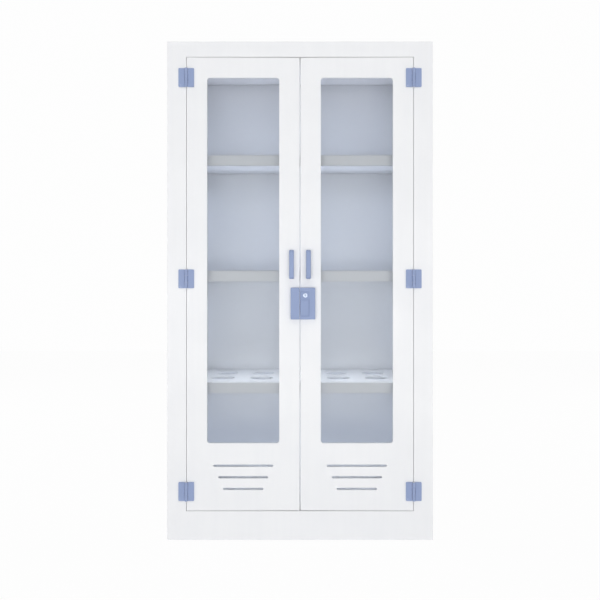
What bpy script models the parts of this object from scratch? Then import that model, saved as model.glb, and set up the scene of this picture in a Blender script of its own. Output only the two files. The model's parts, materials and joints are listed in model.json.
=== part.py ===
"""A laboratory glassware cabinet of welded white polypropylene sheet.

Two glazed doors hang on blue moulded hinges inside a face frame, with a blue pull handle each
and a key lock that bridges them. Inside are two plain shelves and one with round holes for flasks.

Metres. +Z is up, +X is to the right of someone who faces the doors, and +Y runs from the doors to
the back panel. The origin is on the floor, under the middle of the overall box.
"""

import math

import bmesh
import bpy
from mathutils import Matrix, Vector

# Carcass
WIDTH = 0.960
HEIGHT = 1.800
DEPTH = 0.450  # front of the face frame to the back of the back panel
SHEET = 0.008  # carcass, door and shelf sheet
SEAT = 0.0003  # gap where one piece rests on, or is welded to, another
EDGE = 0.0010  # radius along sawn sheet edges
STILE_WIDTH = 0.069
BOTTOM_RAIL_HEIGHT = 0.104
CEILING_RISE = 0.0165  # from the top rail's return flange up to the ceiling sheet
TOP_CAVITY = 0.015  # between the ceiling sheet and the top sheet
STOP_DEPTH = 0.012
STOP_HEIGHT = 0.012

# Shelves
SHELF_TOPS = {"bottom": 0.563, "middle": 0.974, "top": 1.399}
PERFORATED_SHELF = "bottom"
SHELF_LIP = 0.040  # height of the turned-down front edge
SHELF_SETBACK = 0.009  # from the back of the door jambs to the lip
SHELF_PLAY = 0.001  # free space at the shelf's ends and back
HOLE_RADIUS = 0.045
HOLE_PITCH = 0.148
HOLE_ROWS = 2
HOLE_EDGE = 0.080  # least sheet left beside the outer holes
CLEAT_LEG = 0.025
CLEAT_WALL = 0.005
CLEAT_END = 0.020  # free space in front of and behind a cleat

# Doors
DOOR_GAP = 0.0015  # round the doors, inside the face frame
CENTRE_GAP = 0.0025  # between the two doors
DOOR_DEPTH = 0.024
DOOR_STRIP = 0.010  # width of the strips that edge the back of a door
WINDOW_MARGIN = 0.074  # door edge to window, at both sides and the top
WINDOW_SILL = 0.2437  # door's lower edge to window
WINDOW_RADIUS = 0.010
PANE = 0.005
PANE_LAP = 0.014  # how far the pane runs past the window's edge
RETAINER_RIM = 0.012  # retainer's width outside the pane
RETAINER_FACE = 0.006  # retainer's thickness behind the pane
RETAINER_REVEAL = 0.003  # how far the retainer's opening stands back from the window
MID_RAIL_GAP = 0.016  # from the retainer down to the door's middle rail
VENT_COUNT = 3
VENT_HEIGHT = 0.008
VENT_PITCH = 0.0418
VENT_SHIFT = -0.00145  # middle slot above the middle of the sheet under the window
VENT_INSET = 0.0224  # window's side to the end of the first slot
VENT_TAPER = 0.0175  # how much further in each lower slot ends

# Hinges
HINGE_HEIGHT = 0.0675
TOP_HINGE_INSET = 0.0743  # door's top to the middle of the top hinge
LOW_HINGE_INSET = 0.0703  # door's lower edge to the middle of the bottom hinge
MID_HINGE_RISE = 0.0185  # middle hinge above the door's middle
LEAF_REACH = 0.028  # pin to the leaf's outer edge
LEAF_THICK = 0.0055
KNUCKLES = 3  # the frame's leaf has the first, the door's leaf the next and so on
KNUCKLE_RADIUS = 0.006
KNUCKLE_GAP = 0.0005
LEAF_CLEAR = 0.0012  # leaf to the other leaf's knuckles
PIN_RADIUS = 0.0025
PIN_HEAD_RADIUS = 0.0042
PIN_HEAD = 0.0015
PIN_PLAY = 0.0003

# Handles
HANDLE_HEIGHT = 0.104
HANDLE_WIDTH = 0.017
HANDLE_REACH = 0.034
HANDLE_BAR = 0.009
HANDLE_POST = 0.012
HANDLE_BEND = 0.004  # inside radius of the handle's bends
HANDLE_EDGE = 0.004
HANDLE_OFFSET = 0.0303  # cabinet's middle to the handle's middle
HANDLE_RISE = 0.070  # handle's middle above the door's middle
SCREW_RADIUS = 0.0024
SCREW_HEAD_RADIUS = 0.0045
SCREW_HEAD = 0.003
SCREW_BITE = 0.012  # how deep a screw goes into the handle's post
SCREW_PLAY = 0.0003

# Lock
LOCK_DROP = 0.0314  # handle's lower end to the lock's top
LOCK_HEIGHT = 0.1137
LOCK_DEPTH = 0.024
LOCK_WALL = 0.004
LOCK_EDGE = 0.002
CASE_WIDTH = 0.055
KEEPER_WIDTH = 0.032
LOCK_SPLIT = 0.0012  # gap between case and keeper
LOCK_SHIFT = -0.001  # middle of that gap, from the cabinet's middle
KEY_DROP = 0.0276  # lock's top to the key cylinder
KEY_FLANGE_RADIUS = 0.0075
KEY_FLANGE = 0.002
KEY_BARREL_RADIUS = 0.0055
KEYWAY_LENGTH = 0.0062
KEYWAY_WIDTH = 0.0013
KEYWAY_DEPTH = 0.0014
CAM_RADIUS = 0.008  # key axis to the cam pin
CAM_PIN_RADIUS = 0.002
CAM_RIM = 0.0015  # cam disc left outside the pin
CAM_ROOM = 0.0037  # cam disc to the case's side wall
CAM_THICK = 0.003
CAM_REACH = 0.005  # how deep the cam pin goes into the bolt
BOLT_THICK = 0.009
BOLT_WEB = 0.0015  # bolt left above and below the cam disc
BOLT_NOSE = 0.002  # how far the drawn-back bolt stays inside the case's side
BOLT_ROOM = 0.002  # drawn-back bolt to the case's far wall
BOLT_PLAY = 0.0005
POCKET_LOW = 0.012  # lock's lower edge to the pocket on its front
POCKET_SIDE = 0.0022  # case's open side to the pocket
POCKET_MARGIN = 0.0065  # key cylinder's flange to the pocket's top and far side
POCKET_DEPTH = 0.0015
POCKET_RADIUS = 0.003
PLATE_THICK = 0.002
PLATE_DROP = 0.0086  # key cylinder's flange down to the plate

# How finely round shapes are cut
CORNER_STEPS = 4
SMALL_ROUND_STEPS = 14
HOLE_STEPS = 28
CUT_PAST = 0.004  # how far a cutter runs past what it cuts
SHARP_ANGLE = math.radians(40)  # outer edges that turn more than this are eased
SMOOTH_ANGLE = math.radians(35)  # faces that turn less than this are shaded as one
SAME_PLACE = 1e-6  # points closer than this are taken as one

# Places worked out from the sizes above
FRONT = (HANDLE_REACH - DEPTH) / 2
BACK = FRONT + DEPTH
INNER_X = WIDTH / 2 - SHEET - SEAT  # inside of the side panels
ON_FACE = FRONT - SEAT  # where fittings sit on the front
BEHIND_FACE = FRONT + SHEET + SEAT
BEFORE_BACK = BACK - SHEET - SEAT
OPEN_X = WIDTH / 2 - STILE_WIDTH
OPEN_LOW = BOTTOM_RAIL_HEIGHT
OPEN_HIGH = HEIGHT - 3 * SHEET - TOP_CAVITY - CEILING_RISE
CEILING_LOW = OPEN_HIGH + SHEET + CEILING_RISE
JAMB_BACK = FRONT + DOOR_DEPTH + STOP_DEPTH
SHELF_FRONT = JAMB_BACK + SHELF_SETBACK

DOOR_LOW = OPEN_LOW + DOOR_GAP
DOOR_HIGH = OPEN_HIGH - DOOR_GAP
DOOR_MIDDLE = (DOOR_LOW + DOOR_HIGH) / 2
DOOR_OUTER = OPEN_X - DOOR_GAP
DOOR_INNER = CENTRE_GAP / 2
DOOR_BACK = FRONT + DOOR_DEPTH
DOOR_CENTRE = (DOOR_OUTER + DOOR_INNER) / 2
WINDOW_WIDTH = DOOR_OUTER - DOOR_INNER - 2 * WINDOW_MARGIN
WINDOW_LOW = DOOR_LOW + WINDOW_SILL
WINDOW_HIGH = DOOR_HIGH - WINDOW_MARGIN
WINDOW_HEIGHT = WINDOW_HIGH - WINDOW_LOW
WINDOW_MIDDLE = (WINDOW_LOW + WINDOW_HIGH) / 2
RETAINER_EDGE = PANE_LAP + SEAT + RETAINER_RIM  # window's edge to the retainer's outside
MID_RAIL_HIGH = WINDOW_LOW - RETAINER_EDGE - MID_RAIL_GAP

HINGE_X = OPEN_X - DOOR_GAP / 2
HINGE_Y = ON_FACE - KNUCKLE_RADIUS
HINGE_LEVELS = {
    "bottom": DOOR_LOW + LOW_HINGE_INSET,
    "middle": DOOR_MIDDLE + MID_HINGE_RISE,
    "top": DOOR_HIGH - TOP_HINGE_INSET,
}
HANDLE_MIDDLE = DOOR_MIDDLE + HANDLE_RISE

LOCK_TOP = HANDLE_MIDDLE - HANDLE_HEIGHT / 2 - LOCK_DROP
LOCK_LOW = LOCK_TOP - LOCK_HEIGHT
LOCK_FRONT = ON_FACE - LOCK_DEPTH
CASE_LEFT = LOCK_SHIFT + LOCK_SPLIT / 2
CASE_RIGHT = CASE_LEFT + CASE_WIDTH
KEEPER_RIGHT = LOCK_SHIFT - LOCK_SPLIT / 2
KEEPER_LEFT = KEEPER_RIGHT - KEEPER_WIDTH
POCKET_FLOOR = LOCK_FRONT + POCKET_DEPTH
CAM_DISC_RADIUS = CAM_RADIUS + CAM_PIN_RADIUS + CAM_RIM
CAM_SIDE = CAM_RADIUS * math.sin(math.radians(45))  # cam pin's throw to each side in a quarter turn
CAM_FRONT = LOCK_FRONT + LOCK_WALL + SEAT
KEY_X = CASE_LEFT + LOCK_WALL + CAM_ROOM + CAM_DISC_RADIUS
KEY_Z = LOCK_TOP - KEY_DROP
BOLT_FRONT = CAM_FRONT + CAM_THICK + SEAT
BOLT_BACK = BOLT_FRONT + BOLT_THICK
BOLT_HALF = CAM_DISC_RADIUS + BOLT_WEB

SIDES = {"left": -1, "right": 1}


def clear_scene():
    for obj in list(bpy.data.objects):
        bpy.data.objects.remove(obj)


def finish(name, colour, roughness, alpha=1.0, metallic=0.0):
    """A plain Principled material."""
    material = bpy.data.materials.new(name)
    material.use_nodes = True
    shader = material.node_tree.nodes["Principled BSDF"]
    shader.inputs["Base Color"].default_value = (*colour, 1.0)
    shader.inputs["Roughness"].default_value = roughness
    shader.inputs["Metallic"].default_value = metallic
    shader.inputs["Alpha"].default_value = alpha
    return material


def pivot(name, place, parent=None):
    """An empty on a joint's axis. Pieces that move about the axis hang from it."""
    empty = bpy.data.objects.new(name, None)
    bpy.context.scene.collection.objects.link(empty)
    empty.parent = parent
    empty.location = Vector(place) - place_of(parent)
    return empty


def place_of(empty):
    place = Vector()
    while empty is not None:
        place += empty.location
        empty = empty.parent
    return place


def piece(name, bm, material=None, hangs_from=None):
    """Makes an object of a bmesh drawn in cabinet coordinates, with its origin on its pivot."""
    bmesh.ops.translate(bm, vec=-place_of(hangs_from), verts=bm.verts)
    bmesh.ops.recalc_face_normals(bm, faces=bm.faces)
    mesh = bpy.data.meshes.new(name)
    bm.to_mesh(mesh)
    bm.free()
    if material:
        mesh.materials.append(material)
    mesh.shade_smooth()
    mesh.set_sharp_from_angle(angle=SMOOTH_ANGLE)
    obj = bpy.data.objects.new(name, mesh)
    bpy.context.scene.collection.objects.link(obj)
    obj.parent = hangs_from
    return obj


def combine(obj, tool_name, bm, operation):
    """Cuts a drawn shape out of obj, or joins it on, with a tool that isn't part of the cabinet."""
    tool = piece(tool_name, bm, hangs_from=obj.parent)
    tool.hide_render = True
    tool.display_type = "WIRE"
    modifier = obj.modifiers.new(tool_name, "BOOLEAN")
    modifier.operation = operation
    modifier.object = tool


def cut(obj, tool_name, bm):
    combine(obj, tool_name, bm, "DIFFERENCE")


def join(obj, tool_name, bm):
    combine(obj, tool_name, bm, "UNION")


def add_box(bm, x, y, z):
    """A box given by its lowest and highest x, y and z."""
    made = bmesh.ops.create_cube(bm, size=1.0)["verts"]
    low = Vector(min(span) for span in (x, y, z))
    high = Vector(max(span) for span in (x, y, z))
    bmesh.ops.scale(bm, vec=high - low, verts=made)
    bmesh.ops.translate(bm, vec=(low + high) / 2, verts=made)


def add_cylinder(bm, centre, axis, radius, length, steps=SMALL_ROUND_STEPS):
    turn = Vector((0, 0, 1)).rotation_difference(Vector(axis)).to_matrix().to_4x4()
    bmesh.ops.create_cone(
        bm,
        cap_ends=True,
        segments=steps,
        radius1=radius,
        radius2=radius,
        depth=length,
        matrix=Matrix.Translation(centre) @ turn,
    )


def add_loft(bm, rings):
    """A closed solid through rings of points, each with as many points as the others."""
    loops = [[bm.verts.new(point) for point in ring] for ring in rings]
    for near, far in zip(loops, loops[1:]):
        for i in range(len(near)):
            bm.faces.new((near[i - 1], near[i], far[i], far[i - 1]))
    bm.faces.new(loops[0])
    bm.faces.new(loops[-1])


def add_turned(bm, profile, base, axis, steps=SMALL_ROUND_STEPS):
    """Spins a profile of (radius, distance along the axis), which starts and ends on the axis."""
    turn = Vector((0, 0, 1)).rotation_difference(Vector(axis)).to_matrix().to_4x4()
    place = Matrix.Translation(base) @ turn
    verts = [bm.verts.new(place @ Vector((radius, 0, along))) for radius, along in profile]
    edges = [bm.edges.new(pair) for pair in zip(verts, verts[1:])]
    bmesh.ops.spin(
        bm,
        geom=verts + edges,
        cent=base,
        axis=Vector(axis),
        angle=math.tau,
        steps=steps,
        use_merge=True,
    )
    bmesh.ops.remove_doubles(bm, verts=bm.verts, dist=SAME_PLACE)


def arc(centre, radius, start, end, steps=CORNER_STEPS):
    """Points on an arc, with its angles in degrees."""
    angles = [math.radians(start + (end - start) * i / steps) for i in range(steps + 1)]
    return [(centre[0] + radius * math.cos(a), centre[1] + radius * math.sin(a)) for a in angles]


def rounded_outline(centre, width, height, radius):
    x, z = width / 2 - radius, height / 2 - radius
    corners = ((x, z, 0), (-x, z, 90), (-x, -z, 180), (x, -z, 270))
    points = []
    for dx, dz, start in corners:
        points += arc((centre[0] + dx, centre[1] + dz), radius, start, start + 90)
    return points


def add_flared_hole(bm, centre, width, height, radius):
    """A cutter through a door's front sheet, with its mouth eased like the sheet's edges."""
    rings = []
    steps = (
        (FRONT - CUT_PAST, EDGE + CUT_PAST),
        (FRONT + EDGE, 0),
        (FRONT + SHEET + CUT_PAST, 0),
    )
    for y, wider in steps:
        outline = rounded_outline(centre, width + 2 * wider, height + 2 * wider, radius + wider)
        rings.append([(x, y, z) for x, z in outline])
    add_loft(bm, rings)


def ease(bm, radius, segments=1):
    """Rounds the sharp outer edges."""
    bmesh.ops.recalc_face_normals(bm, faces=bm.faces)
    sharp = [e for e in bm.edges if e.is_convex and e.calc_face_angle() > SHARP_ANGLE]
    round_off(bm, sharp, radius, segments)


def round_off(bm, edges, radius, segments):
    bmesh.ops.bevel(
        bm,
        geom=edges,
        offset=radius,
        offset_type="OFFSET",
        affect="EDGES",
        segments=segments,
        profile=0.5,
        material=-1,
    )


def sheet(name, x, y, z, material, hangs_from=None, edge=EDGE, segments=1):
    """A flat sheet or bar with eased edges."""
    bm = bmesh.new()
    add_box(bm, x, y, z)
    ease(bm, edge, segments)
    return piece(name, bm, material, hangs_from)


def angle_bar(name, x, outline, material):
    """A bar of constant section along X, from an outline of (y, z)."""
    bm = bmesh.new()
    add_loft(bm, [[(end, y, z) for y, z in outline] for end in x])
    ease(bm, EDGE)
    return piece(name, bm, material)


def carcass(white):
    top_low = HEIGHT - SHEET
    under_top = top_low - SEAT
    behind_face = (BEHIND_FACE, BACK)
    between_panels = (BEHIND_FACE, BEFORE_BACK)
    for name, side in SIDES.items():
        outside = side * WIDTH / 2
        sheet(f"side_panel_{name}", (outside, outside - side * SHEET), behind_face, (0, under_top), white)
    inside = (-INNER_X, INNER_X)
    sheet("back_panel", inside, (BACK - SHEET, BACK), (0, under_top), white)
    sheet("top_panel", (-WIDTH / 2, WIDTH / 2), behind_face, (top_low, HEIGHT), white)
    sheet("ceiling_panel", inside, between_panels, (CEILING_LOW, CEILING_LOW + SHEET), white)
    sheet("floor_panel", inside, between_panels, (OPEN_LOW - SHEET, OPEN_LOW), white)
    middle = (FRONT + BACK) / 2
    bearer = (middle - SHEET / 2, middle + SHEET / 2)
    sheet("floor_bearer", inside, bearer, (0, OPEN_LOW - SHEET - SEAT), white)


def stile(name, side, white):
    """A face-frame upright. Its return flange beside the door runs from floor panel to ceiling."""
    flange_low, flange_high = OPEN_LOW + SEAT, CEILING_LOW - SEAT
    flange_x = OPEN_X + SHEET
    bm = bmesh.new()
    add_box(bm, (OPEN_X, WIDTH / 2), (FRONT, FRONT + SHEET), (0, HEIGHT))
    planes = (
        ((flange_x, 0, 0), (1, 0, 0)),
        ((0, 0, flange_low), (0, 0, 1)),
        ((0, 0, flange_high), (0, 0, 1)),
    )
    for point, normal in planes:
        bmesh.ops.bisect_plane(
            bm, geom=bm.verts[:] + bm.edges[:] + bm.faces[:], plane_co=point, plane_no=normal
        )
    strip = []
    for face in bm.faces:
        middle = face.calc_center_median()
        on_back = abs(middle.y - FRONT - SHEET) < SAME_PLACE
        if on_back and middle.x < flange_x and flange_low < middle.z < flange_high:
            strip.append(face)
    raised = bmesh.ops.extrude_face_region(bm, geom=strip)["geom"]
    moved = [v for v in raised if isinstance(v, bmesh.types.BMVert)]
    bmesh.ops.translate(bm, vec=(0, JAMB_BACK - FRONT - SHEET, 0), verts=moved)
    bmesh.ops.delete(bm, geom=strip, context="FACES")
    bmesh.ops.scale(bm, vec=(side, 1, 1), verts=bm.verts)
    ease(bm, EDGE, 2)
    piece(f"front_stile_{name}", bm, white)


def face_frame(white):
    for name, side in SIDES.items():
        stile(name, side, white)
    between_stiles = (-OPEN_X + SEAT, OPEN_X - SEAT)
    face_back, flange_top = FRONT + SHEET, OPEN_HIGH + SHEET
    top_section = (
        (FRONT, HEIGHT),
        (FRONT, OPEN_HIGH),
        (JAMB_BACK, OPEN_HIGH),
        (JAMB_BACK, flange_top),
        (face_back, flange_top),
        (face_back, HEIGHT),
    )
    angle_bar("front_rail_top", between_stiles, top_section, white)
    sheet("front_rail_bottom", between_stiles, (FRONT, face_back), (0, OPEN_LOW), white)
    stop_y = (DOOR_BACK + SEAT, JAMB_BACK)
    sheet("door_stop_bottom", between_stiles, stop_y, (OPEN_LOW + SEAT, OPEN_LOW + STOP_HEIGHT), white)
    sheet("door_stop_top", between_stiles, stop_y, (OPEN_HIGH - STOP_HEIGHT, OPEN_HIGH - SEAT), white)


def shelf(level, top, white):
    """A sheet with a turned-down front lip, resting on a cleat at each end."""
    end, under = INNER_X - SHELF_PLAY, top - SHEET
    back = BEFORE_BACK - SHELF_PLAY
    section = (
        (SHELF_FRONT, top),
        (SHELF_FRONT, top - SHELF_LIP),
        (SHELF_FRONT + SHEET, top - SHELF_LIP),
        (SHELF_FRONT + SHEET, under),
        (back, under),
        (back, top),
    )
    board = angle_bar(f"shelf_{level}", (-end, end), section, white)
    if level == PERFORATED_SHELF:
        perforate(board, top, end, (SHELF_FRONT + back) / 2)
    cleat_y = (SHELF_FRONT + SHEET + CLEAT_END, BEFORE_BACK - CLEAT_END)
    for name, side in SIDES.items():
        cleat(f"shelf_cleat_{name}_{level}", side, cleat_y, under - SEAT, white)


def perforate(board, top, end, middle):
    """Round holes on a square grid, in as many columns as the shelf's length takes."""
    columns = int((end - HOLE_RADIUS - HOLE_EDGE) / HOLE_PITCH)
    bm = bmesh.new()
    for column in range(-columns, columns + 1):
        for row in range(HOLE_ROWS):
            y = middle + (row - (HOLE_ROWS - 1) / 2) * HOLE_PITCH
            centre = (column * HOLE_PITCH, y, top - SHEET / 2)
            add_cylinder(bm, centre, (0, 0, 1), HOLE_RADIUS, SHEET + 2 * CUT_PAST, HOLE_STEPS)
    cut(board, f"{board.name}_holes", bm)


def cleat(name, side, y, top, white):
    """An angle on a side panel that carries one end of a shelf."""
    wall, reach = INNER_X, INNER_X - CLEAT_LEG
    section = (
        (wall, top),
        (reach, top),
        (reach, top - CLEAT_WALL),
        (wall - CLEAT_WALL, top - CLEAT_WALL),
        (wall - CLEAT_WALL, top - CLEAT_LEG),
        (wall, top - CLEAT_LEG),
    )
    bm = bmesh.new()
    add_loft(bm, [[(side * x, end, z) for x, z in section] for end in y])
    ease(bm, EDGE)
    piece(name, bm, white)


def door(name, side, axis, white, clear):
    """The front sheet, the strips that edge its back, and the pane with its retainer."""
    outer, inner = side * DOOR_OUTER, side * DOOR_INNER
    centre = side * DOOR_CENTRE
    front = sheet(
        f"door_{name}_front",
        (outer, inner),
        (FRONT, FRONT + SHEET),
        (DOOR_LOW, DOOR_HIGH),
        white,
        axis,
        segments=2,
    )
    bm = bmesh.new()
    add_flared_hole(bm, (centre, WINDOW_MIDDLE), WINDOW_WIDTH, WINDOW_HEIGHT, WINDOW_RADIUS)
    vents_middle = (DOOR_LOW + WINDOW_LOW) / 2 + VENT_SHIFT
    for i in range(VENT_COUNT):
        length = WINDOW_WIDTH - 2 * (VENT_INSET + i * VENT_TAPER)
        level = vents_middle + ((VENT_COUNT - 1) / 2 - i) * VENT_PITCH
        add_flared_hole(bm, (centre, level), length, VENT_HEIGHT, VENT_HEIGHT / 2 - SEAT)
    for z in handle_screw_levels():
        place = (side * HANDLE_OFFSET, FRONT + SHEET / 2, z)
        add_cylinder(bm, place, (0, 1, 0), SCREW_RADIUS + SCREW_PLAY, SHEET + 2 * CUT_PAST)
    cut(front, f"door_{name}_openings", bm)
    door_edging(name, side, axis, white)
    glazing(name, centre, axis, white, clear)


def door_edging(name, side, axis, white):
    """Strips round the back of a door, with a rail across between the window and the vents."""
    outer, inner = DOOR_OUTER - EDGE, DOOR_INNER + EDGE
    low, high = DOOR_LOW + EDGE, DOOR_HIGH - EDGE
    y = (BEHIND_FACE, DOOR_BACK)
    edging = sheet(f"door_{name}_edging", (side * outer, side * inner), y, (low, high), white, axis)
    x = (side * (outer - DOOR_STRIP), side * (inner + DOOR_STRIP))
    through = (y[0] - CUT_PAST, y[1] + CUT_PAST)
    bm = bmesh.new()
    add_box(bm, x, through, (low + DOOR_STRIP, MID_RAIL_HIGH - DOOR_STRIP))
    add_box(bm, x, through, (MID_RAIL_HIGH, high - DOOR_STRIP))
    cut(edging, f"door_{name}_edging_openings", bm)


def glazing(name, centre, axis, white, clear):
    half, low, high = WINDOW_WIDTH / 2 + PANE_LAP, WINDOW_LOW - PANE_LAP, WINDOW_HIGH + PANE_LAP
    pane_back = BEHIND_FACE + PANE
    x = (centre - half, centre + half)
    sheet(f"door_{name}_pane", x, (BEHIND_FACE, pane_back), (low, high), clear, axis, EDGE / 2)

    rim = SEAT + RETAINER_RIM
    retainer_back = pane_back + SEAT + RETAINER_FACE
    retainer = sheet(
        f"door_{name}_pane_retainer",
        (x[0] - rim, x[1] + rim),
        (BEHIND_FACE, retainer_back),
        (low - rim, high + rim),
        white,
        axis,
    )
    seat = rounded_outline((centre, WINDOW_MIDDLE), 2 * (half + SEAT), high - low + 2 * SEAT, EDGE)
    opening = rounded_outline(
        (centre, WINDOW_MIDDLE),
        WINDOW_WIDTH + 2 * RETAINER_REVEAL,
        WINDOW_HEIGHT + 2 * RETAINER_REVEAL,
        WINDOW_RADIUS + RETAINER_REVEAL,
    )
    steps = (
        (BEHIND_FACE - CUT_PAST, seat),
        (pane_back + SEAT, seat),
        (pane_back + SEAT, opening),
        (retainer_back + CUT_PAST, opening),
    )
    bm = bmesh.new()
    add_loft(bm, [[(px, y, pz) for px, pz in outline] for y, outline in steps])
    cut(retainer, f"door_{name}_pane_seat", bm)


def leaf_section(pin_x, way):
    """The outline of a leaf from above: a barrel round the pin, and a plate that lies on the sheet."""
    plate_front = KNUCKLE_RADIUS - LEAF_THICK
    start = math.degrees(math.asin(plate_front / KNUCKLE_RADIUS))
    outline = arc((0, 0), KNUCKLE_RADIUS, start, -270, SMALL_ROUND_STEPS)
    outline += [(LEAF_REACH, KNUCKLE_RADIUS), (LEAF_REACH, plate_front)]
    return [(pin_x + way * out, HINGE_Y + back) for out, back in outline]


def notch_span(knuckle):
    """The heights, from the hinge's middle, between which a leaf makes room for the other's knuckle."""
    height = HINGE_HEIGHT / KNUCKLES
    low = knuckle * height - HINGE_HEIGHT / 2
    below = CUT_PAST if knuckle == 0 else KNUCKLE_GAP / 2
    above = CUT_PAST if knuckle == KNUCKLES - 1 else KNUCKLE_GAP / 2
    return low - below, low + height + above


def hinge_leaf(name, pin_x, level, way, notched, blue, axis=None):
    """A moulded leaf, notched where the other leaf's knuckles turn."""
    section = leaf_section(pin_x, way)
    ends = (level - HINGE_HEIGHT / 2, level + HINGE_HEIGHT / 2)
    bm = bmesh.new()
    add_loft(bm, [[(x, y, end) for x, y in section] for end in ends])
    ease(bm, EDGE)
    leaf = piece(name, bm, blue, axis)

    room = KNUCKLE_RADIUS + LEAF_CLEAR
    notches = bmesh.new()
    for low, high in map(notch_span, notched):
        x, y = (pin_x - room, pin_x + room), (HINGE_Y - room, HINGE_Y + room)
        add_box(notches, x, y, (level + low, level + high))
    cut(leaf, f"{name}_notches", notches)
    bore = bmesh.new()
    length = HINGE_HEIGHT + 2 * CUT_PAST
    add_cylinder(bore, (pin_x, HINGE_Y, level), (0, 0, 1), PIN_RADIUS + PIN_PLAY, length)
    cut(leaf, f"{name}_bore", bore)


def hinge(name, side, level, axis, blue):
    pin_x = side * HINGE_X
    door_knuckles = range(1, KNUCKLES, 2)
    frame_knuckles = range(0, KNUCKLES, 2)
    hinge_leaf(f"{name}_frame_leaf", pin_x, level, side, door_knuckles, blue)
    hinge_leaf(f"{name}_door_leaf", pin_x, level, -side, frame_knuckles, blue, axis)
    top = HINGE_HEIGHT / 2 + PIN_PLAY
    profile = (
        (0, -HINGE_HEIGHT / 2),
        (PIN_RADIUS, -HINGE_HEIGHT / 2),
        (PIN_RADIUS, top),
        (PIN_HEAD_RADIUS, top),
        (PIN_HEAD_RADIUS, top + PIN_HEAD / 2),
        (PIN_HEAD_RADIUS - PIN_HEAD / 2, top + PIN_HEAD),
        (0, top + PIN_HEAD),
    )
    bm = bmesh.new()
    add_turned(bm, profile, (pin_x, HINGE_Y, level), (0, 0, 1))
    piece(f"{name}_pin", bm, blue)


def handle_screw_levels():
    reach = HANDLE_HEIGHT / 2 - HANDLE_POST / 2
    return (HANDLE_MIDDLE - reach, HANDLE_MIDDLE + reach)


def handle(name, side, axis, blue, steel):
    """A staple-shaped pull, held by two screws from behind the door's front sheet."""
    half, foot, face = HANDLE_HEIGHT / 2, ON_FACE, FRONT - HANDLE_REACH
    inner_half, inner_face = half - HANDLE_POST, face + HANDLE_BAR
    bend = HANDLE_BEND + HANDLE_BAR
    outer_low = arc((face + bend, bend - half), bend, 270, 180)
    outer_high = arc((face + bend, half - bend), bend, 180, 90)
    inner_high = arc((inner_face + HANDLE_BEND, inner_half - HANDLE_BEND), HANDLE_BEND, 90, 180)
    inner_low = arc((inner_face + HANDLE_BEND, HANDLE_BEND - inner_half), HANDLE_BEND, 180, 270)
    outline = [(foot, -half), *outer_low, *outer_high, (foot, half)]
    outline += [(foot, inner_half), *inner_high, *inner_low, (foot, -inner_half)]
    x = side * HANDLE_OFFSET
    ends = (x - HANDLE_WIDTH / 2, x + HANDLE_WIDTH / 2)
    bm = bmesh.new()
    add_loft(bm, [[(end, y, HANDLE_MIDDLE + z) for y, z in outline] for end in ends])
    bmesh.ops.recalc_face_normals(bm, faces=bm.faces)
    rims = [e for e in bm.edges if abs(e.verts[0].co.x - e.verts[1].co.x) < SAME_PLACE]
    feet = [e for e in rims if all(abs(v.co.y - foot) < SAME_PLACE for v in e.verts)]
    rounded = [e for e in rims if e not in feet]
    round_off(bm, rounded, min(HANDLE_EDGE, HANDLE_BEND), segments=3)
    pull = piece(f"handle_{name}", bm, blue, axis)
    holes = bmesh.new()
    for z in handle_screw_levels():
        length = SCREW_BITE + SCREW_PLAY + CUT_PAST
        place = (x, foot - SCREW_BITE - SCREW_PLAY + length / 2, z)
        add_cylinder(holes, place, (0, 1, 0), SCREW_RADIUS + SCREW_PLAY, length)
    cut(pull, f"handle_{name}_screw_holes", holes)
    for end, z in zip(("low", "high"), handle_screw_levels()):
        handle_screw(f"handle_{name}_screw_{end}", x, z, axis, steel)


def handle_screw(name, x, z, axis, steel):
    head_top, tip = SCREW_HEAD, -(SHEET + 2 * SEAT + SCREW_BITE)
    profile = (
        (0, tip),
        (SCREW_RADIUS, tip),
        (SCREW_RADIUS, 0),
        (SCREW_HEAD_RADIUS, 0),
        (SCREW_HEAD_RADIUS, head_top / 2),
        (SCREW_HEAD_RADIUS - head_top / 2, head_top),
        (0, head_top),
    )
    bm = bmesh.new()
    add_turned(bm, profile, (x, BEHIND_FACE, z), (0, 1, 0))
    piece(name, bm, steel, axis)


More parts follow.
